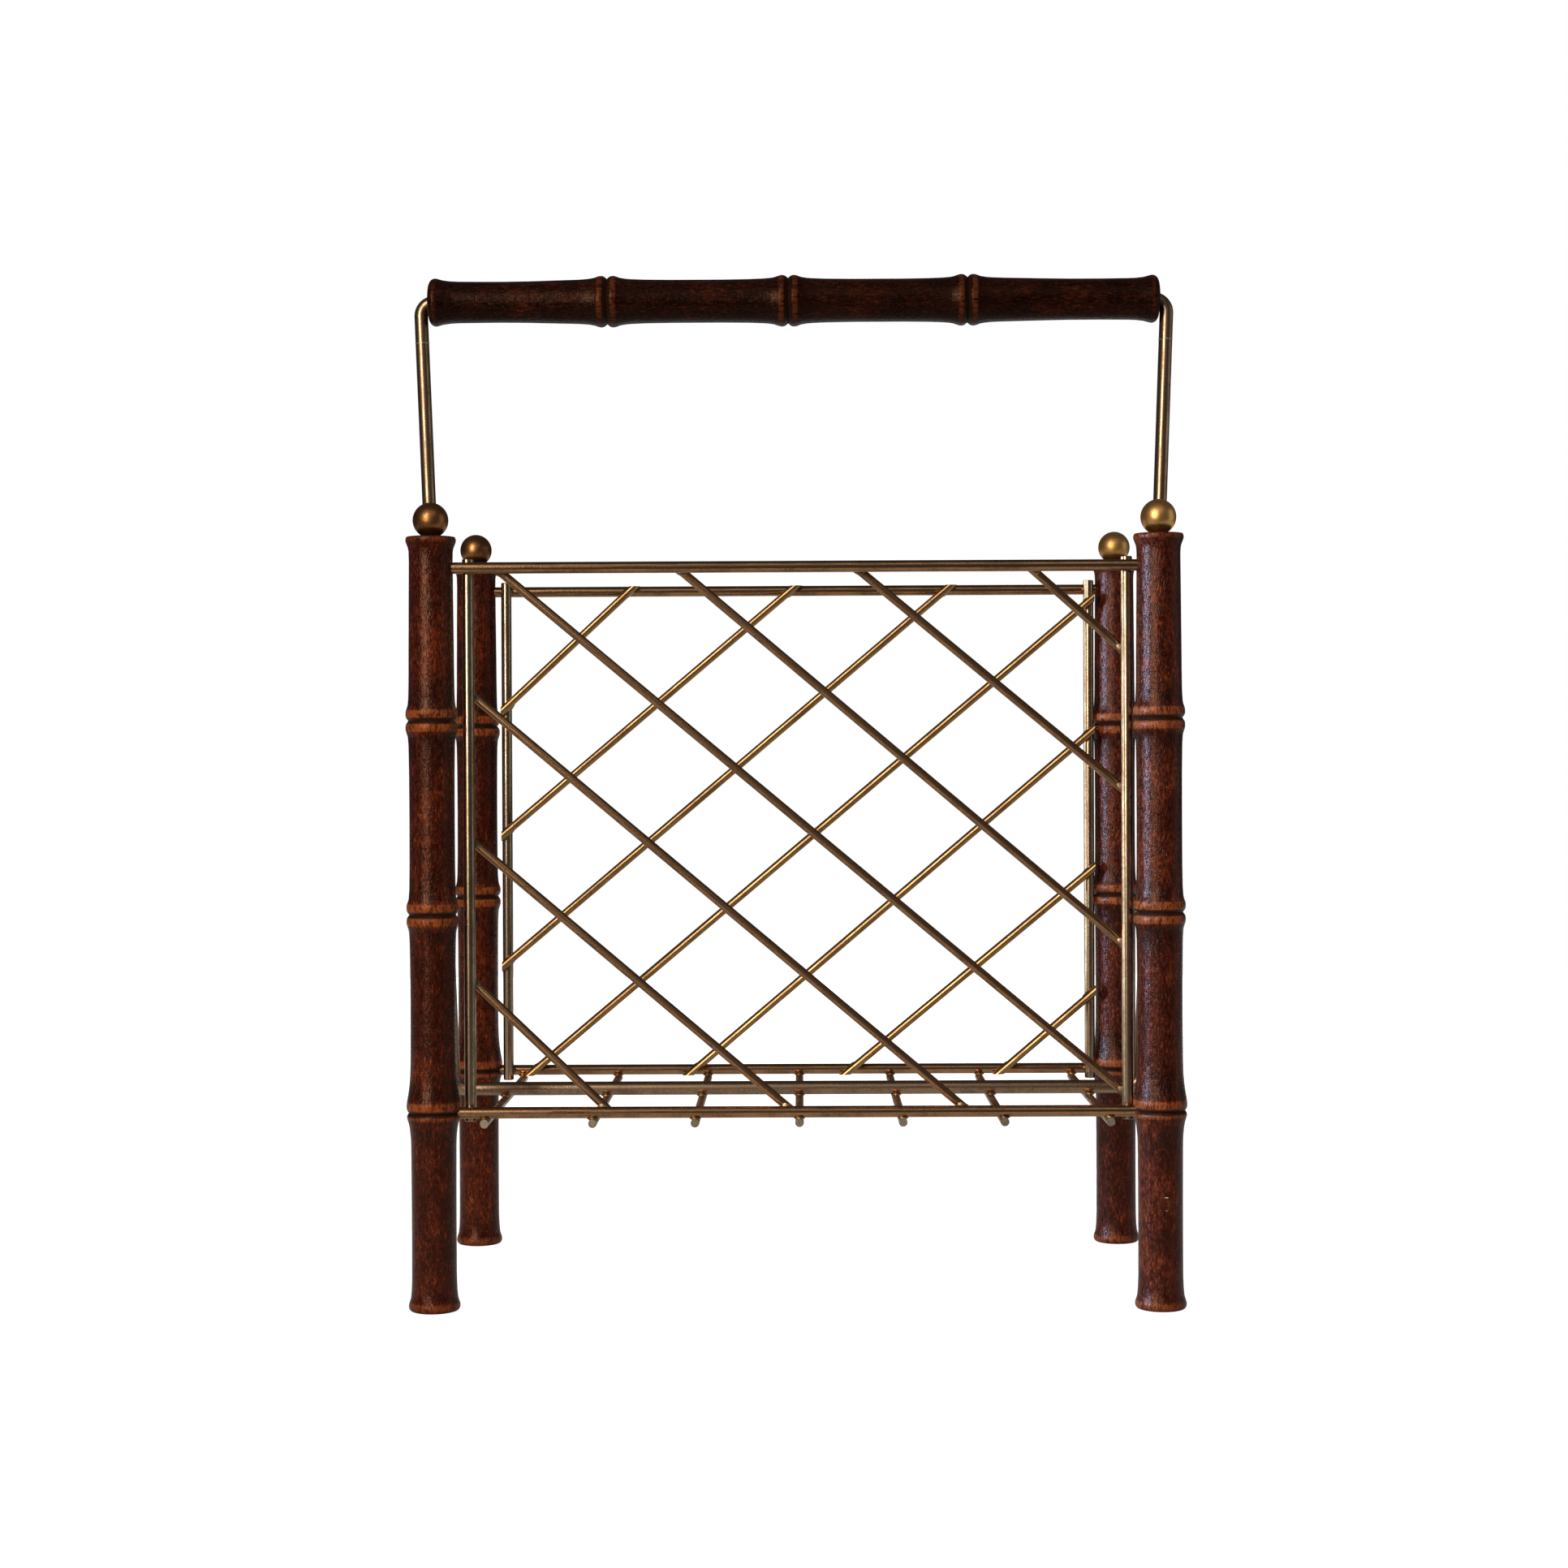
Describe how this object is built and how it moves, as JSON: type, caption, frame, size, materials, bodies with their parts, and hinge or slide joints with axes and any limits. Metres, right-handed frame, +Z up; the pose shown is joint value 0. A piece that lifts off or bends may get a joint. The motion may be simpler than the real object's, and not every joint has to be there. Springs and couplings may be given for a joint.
{
  "type": "magazine rack",
  "caption": "Free-standing magazine rack with turned bamboo-style wooden posts, brass rod side panels, a rod base and a tall brass carrying handle with a turned wooden grip.",
  "frame": {"origin": "on the floor, at the middle of the four feet", "axes": "+Z up, +X to the right seen from the front, front panel towards -Y; the grip lies along X"},
  "size_m": [0.4194, 0.2158, 0.552],
  "materials": {
    "post_wood": "mahogany stain under semi-gloss lacquer",
    "grip_wood": "dark mahogany stain under semi-gloss lacquer",
    "rod_brass": "aged, lightly pitted",
    "handle_brass": "aged, lightly pitted",
    "ball_brass": "satin, aged",
    "stud_steel": "plain"
  },
  "bodies": {
    "rack": {"back_bottom_rail": "rod_brass", "back_diagonal_1": "rod_brass", "back_diagonal_2": "rod_brass", "back_diagonal_3": "rod_brass", "back_diagonal_4": "rod_brass", "back_diagonal_5": "rod_brass", "back_diagonal_6": "rod_brass", "back_diagonal_7": "rod_brass", "back_left_upright": "rod_brass", "back_right_upright": "rod_brass", "back_top_rail": "rod_brass", "ball_back_left": "ball_brass", "ball_back_right": "ball_brass", "ball_front_left": "ball_brass", "ball_front_right": "ball_brass", "ball_studs": "stud_steel", "base_cross_rod_1": "rod_brass", "base_cross_rod_2": "rod_brass", "base_cross_rod_3": "rod_brass", "base_cross_rod_4": "rod_brass", "base_cross_rod_5": "rod_brass", "base_cross_rod_6": "rod_brass", "base_cross_rod_7": "rod_brass", "front_bottom_rail": "rod_brass", "front_diagonal_1": "rod_brass", "front_diagonal_2": "rod_brass", "front_diagonal_3": "rod_brass", "front_diagonal_4": "rod_brass", "front_diagonal_5": "rod_brass", "front_diagonal_6": "rod_brass", "front_diagonal_7": "rod_brass", "front_left_upright": "rod_brass", "front_right_upright": "rod_brass", "front_top_rail": "rod_brass", "handle_bow": "handle_brass", "handle_frame": "handle_brass", "post_back_left": "post_wood", "post_back_right": "post_wood", "post_front_left": "post_wood", "post_front_right": "post_wood"},
    "grip": {"handle_grip": "grip_wood"}
  },
  "joints": [
    {"name": "grip_spin", "type": "hinge", "parent": "rack", "child": "grip", "pos_m": [0, 0, 0.538], "axis": [1, 0, 0], "continuous": true}
  ]
}
